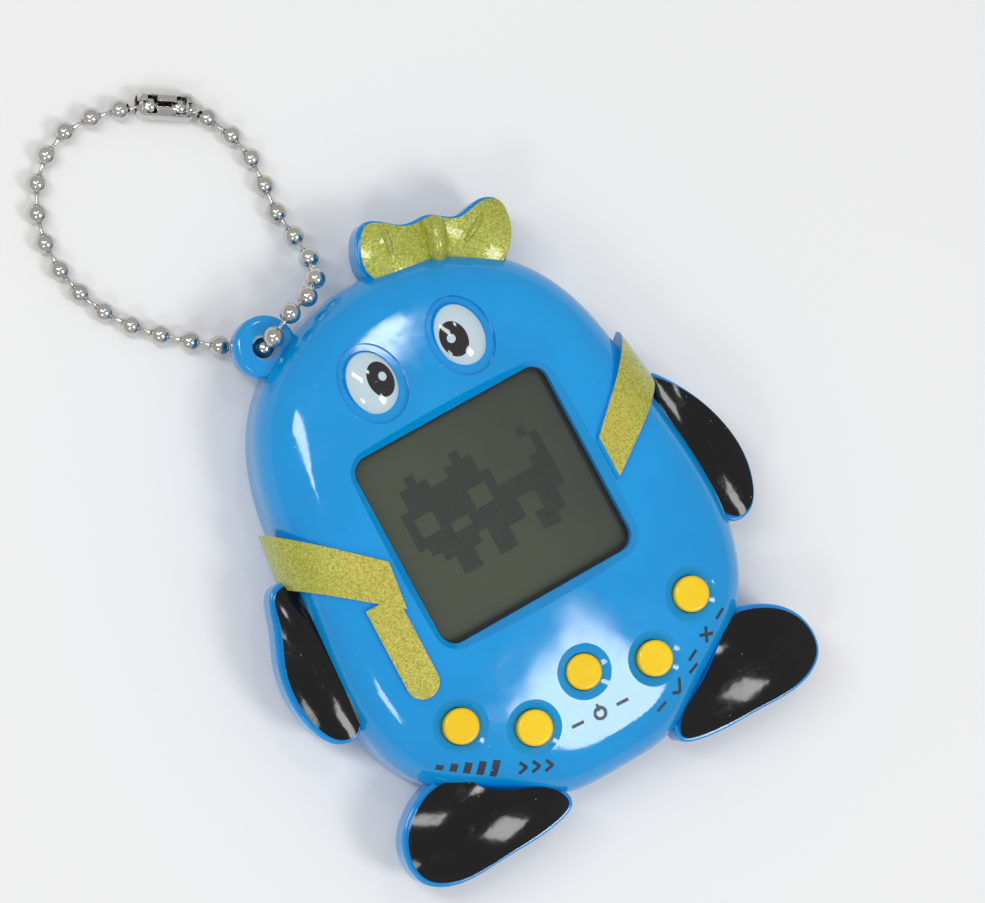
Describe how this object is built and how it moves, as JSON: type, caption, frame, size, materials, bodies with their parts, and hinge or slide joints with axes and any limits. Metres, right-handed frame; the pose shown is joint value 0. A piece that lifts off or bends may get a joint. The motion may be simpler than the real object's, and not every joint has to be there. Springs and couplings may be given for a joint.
{
  "type": "virtual pet keychain",
  "caption": "Pocket virtual pet in a penguin-shaped case, with a small square screen, a row of push buttons, a battery door and a ball chain through an eye on the head.",
  "frame": {"origin": "middle of the case's length and width, on the flat of the back", "axes": "+Z out of the screen, +Y towards the head, +X to the screen's right"},
  "size_m": [0.0598, 0.0968, 0.0152],
  "materials": {
    "blue_plastic": "gloss",
    "clear_plastic": "gloss",
    "polariser_film": "satin",
    "display_glass": "gloss",
    "reflector_film": "satin",
    "white_plastic": "satin",
    "striped_rubber": "matte",
    "green_board": "satin",
    "black_epoxy": "satin",
    "bright_steel": "satin",
    "ceramic_chips": "matte",
    "grey_rubber": "matte",
    "screw_steel": "gloss",
    "brass": "gloss",
    "white_ceramic": "matte",
    "red_wire": "satin",
    "black_wire": "satin",
    "nickel_chain": "gloss",
    "yellow_plastic": "satin",
    "carbon_rubber": "matte"
  },
  "bodies": {
    "case": {"front_shell": "blue_plastic", "back_shell": "blue_plastic", "window_lens": "clear_plastic", "case_screws": "screw_steel", "ball_chain": "nickel_chain", "chain_clasp": "nickel_chain", "lcd_front_film": "polariser_film", "lcd_glass": "display_glass", "lcd_back_film": "reflector_film", "lcd_holder": "white_plastic", "zebra_strip": "striped_rubber", "circuit_board": "green_board", "chip_cover": "black_epoxy", "timing_crystal": "bright_steel", "board_parts": "ceramic_chips", "keypad_web": "grey_rubber", "battery_cell_left": "bright_steel", "battery_cell_right": "bright_steel", "contact_positive": "bright_steel", "contact_negative": "bright_steel", "buzzer_disc": "brass", "buzzer_ceramic": "white_ceramic", "buzzer_wire_red": "red_wire", "buzzer_wire_black": "black_wire", "battery_wire_red": "red_wire", "battery_wire_black": "black_wire"},
    "door": {"battery_door": "blue_plastic", "door_screw": "screw_steel", "contact_bridge": "bright_steel"},
    "status_key": {"status_button": "yellow_plastic", "status_pill": "carbon_rubber", "status_dome": "grey_rubber"},
    "select_key": {"select_button": "yellow_plastic", "select_pill": "carbon_rubber", "select_dome": "grey_rubber"},
    "reset_key": {"reset_button": "yellow_plastic", "reset_pill": "carbon_rubber", "reset_dome": "grey_rubber"},
    "decide_key": {"decide_button": "yellow_plastic", "decide_pill": "carbon_rubber", "decide_dome": "grey_rubber"},
    "cancel_key": {"cancel_button": "yellow_plastic", "cancel_pill": "carbon_rubber", "cancel_dome": "grey_rubber"}
  },
  "joints": [
    {"name": "status_press", "type": "slide", "parent": "case", "child": "status_key", "axis": [0, 0, -1], "range_m": [0, 0.0006], "stiffness_N_per_m": 800, "springref_m": -0.0002, "deforming": ["status_dome"]},
    {"name": "select_press", "type": "slide", "parent": "case", "child": "select_key", "axis": [0, 0, -1], "range_m": [0, 0.0006], "stiffness_N_per_m": 800, "springref_m": -0.0002, "deforming": ["select_dome"]},
    {"name": "reset_press", "type": "slide", "parent": "case", "child": "reset_key", "axis": [0, 0, -1], "range_m": [0, 0.0006], "stiffness_N_per_m": 800, "springref_m": -0.0002, "deforming": ["reset_dome"]},
    {"name": "decide_press", "type": "slide", "parent": "case", "child": "decide_key", "axis": [0, 0, -1], "range_m": [0, 0.0006], "stiffness_N_per_m": 800, "springref_m": -0.0002, "deforming": ["decide_dome"]},
    {"name": "cancel_press", "type": "slide", "parent": "case", "child": "cancel_key", "axis": [0, 0, -1], "range_m": [0, 0.0006], "stiffness_N_per_m": 800, "springref_m": -0.0002, "deforming": ["cancel_dome"]},
    {"name": "battery_door_lift", "type": "slide", "parent": "case", "child": "door", "axis": [0, 0, -1], "range_m": [0, 0.02]}
  ]
}
